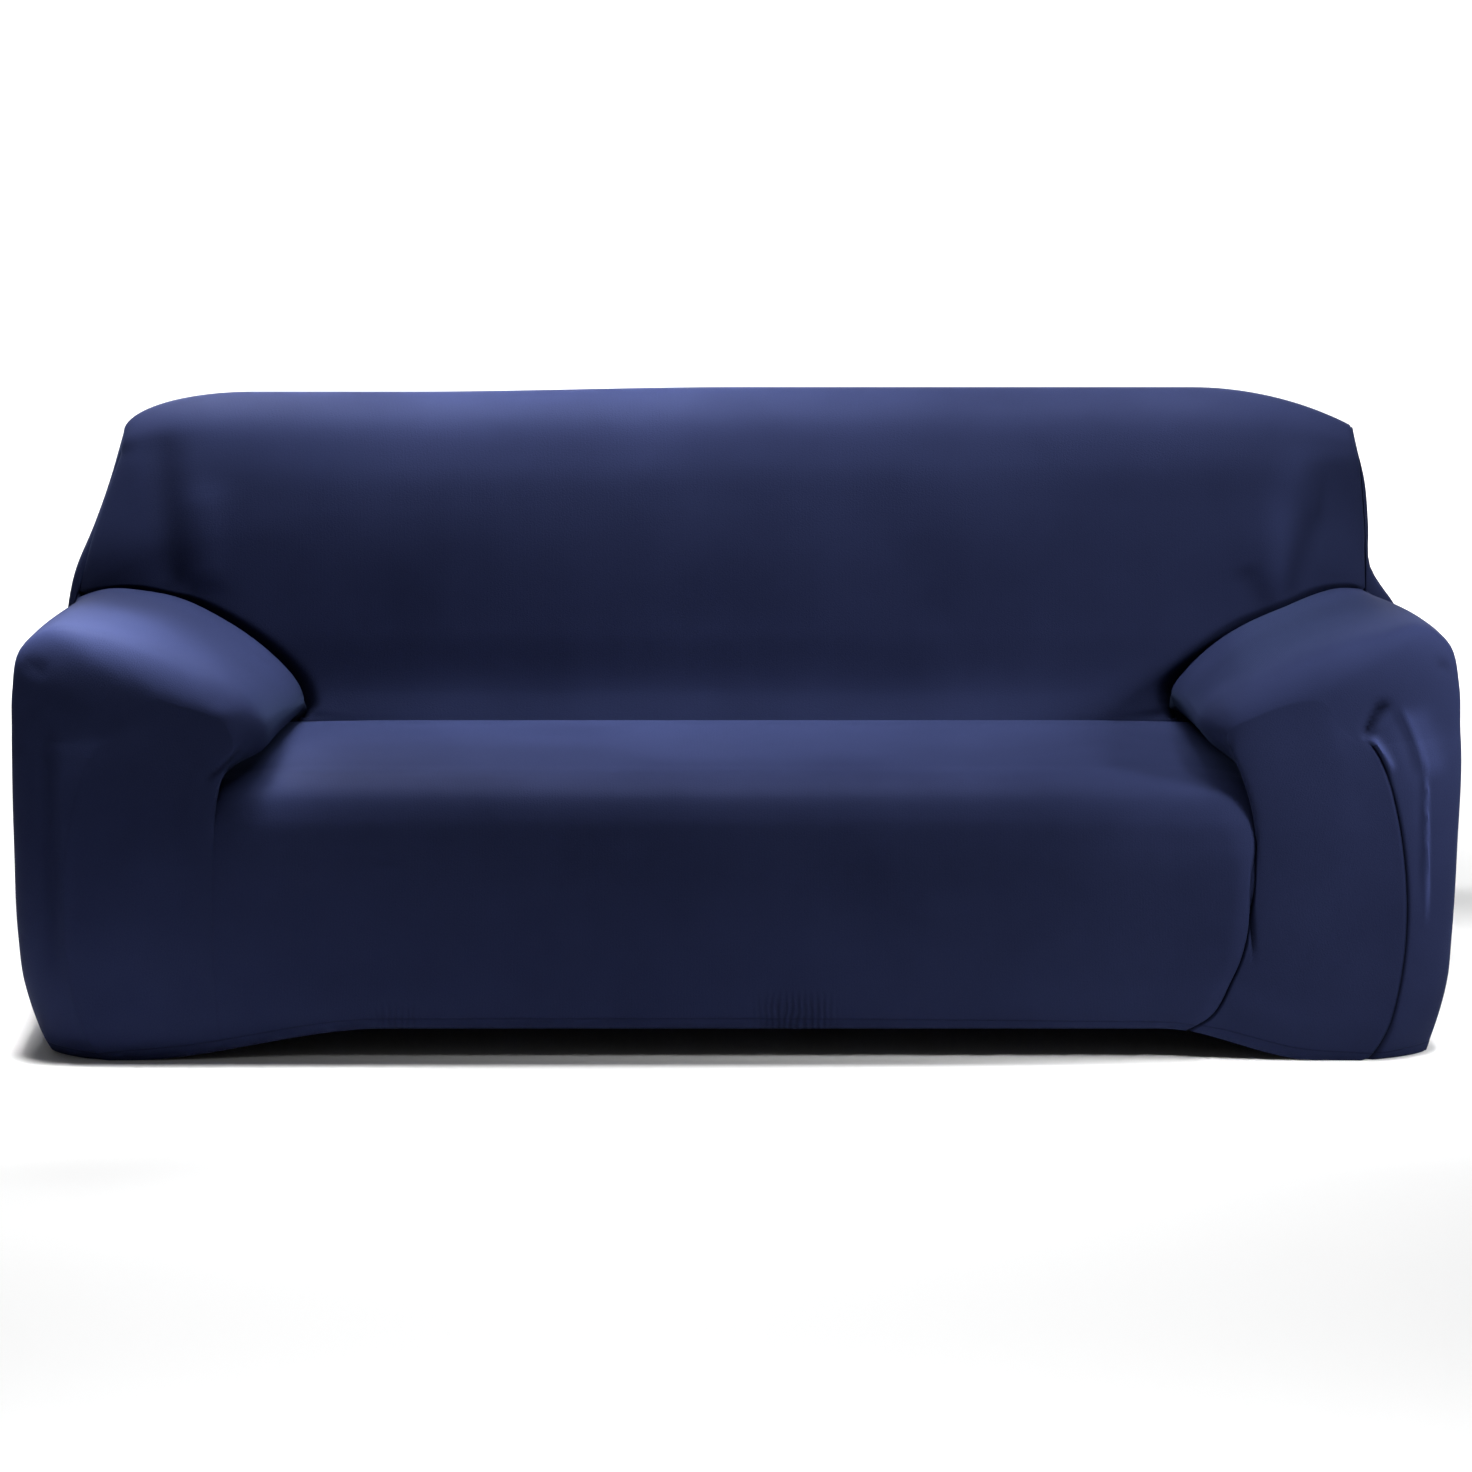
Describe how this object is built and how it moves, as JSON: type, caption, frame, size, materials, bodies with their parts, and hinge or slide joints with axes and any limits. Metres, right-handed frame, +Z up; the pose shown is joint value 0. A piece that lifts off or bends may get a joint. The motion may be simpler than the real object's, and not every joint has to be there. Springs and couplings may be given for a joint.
{
  "type": "sofa slipcover",
  "caption": "Navy stretch-knit slipcover, hollow and open at the floor, shaped as it sits on a three-seat sofa with rolled arms.",
  "frame": {"origin": "middle of the cover's width and depth, at the level of the floor that its arm hems reach", "axes": "+X to the right of someone who faces the cover, -Y out of its front, +Z up"},
  "size_m": [2.0628, 0.8956, 0.882],
  "materials": {
    "navy_knit": "fabric"
  },
  "bodies": {
    "root": {"body_panel": "navy_knit", "arm_panel_left": "navy_knit", "arm_panel_right": "navy_knit", "side_panel_left": "navy_knit", "side_panel_right": "navy_knit"}
  },
  "joints": []
}
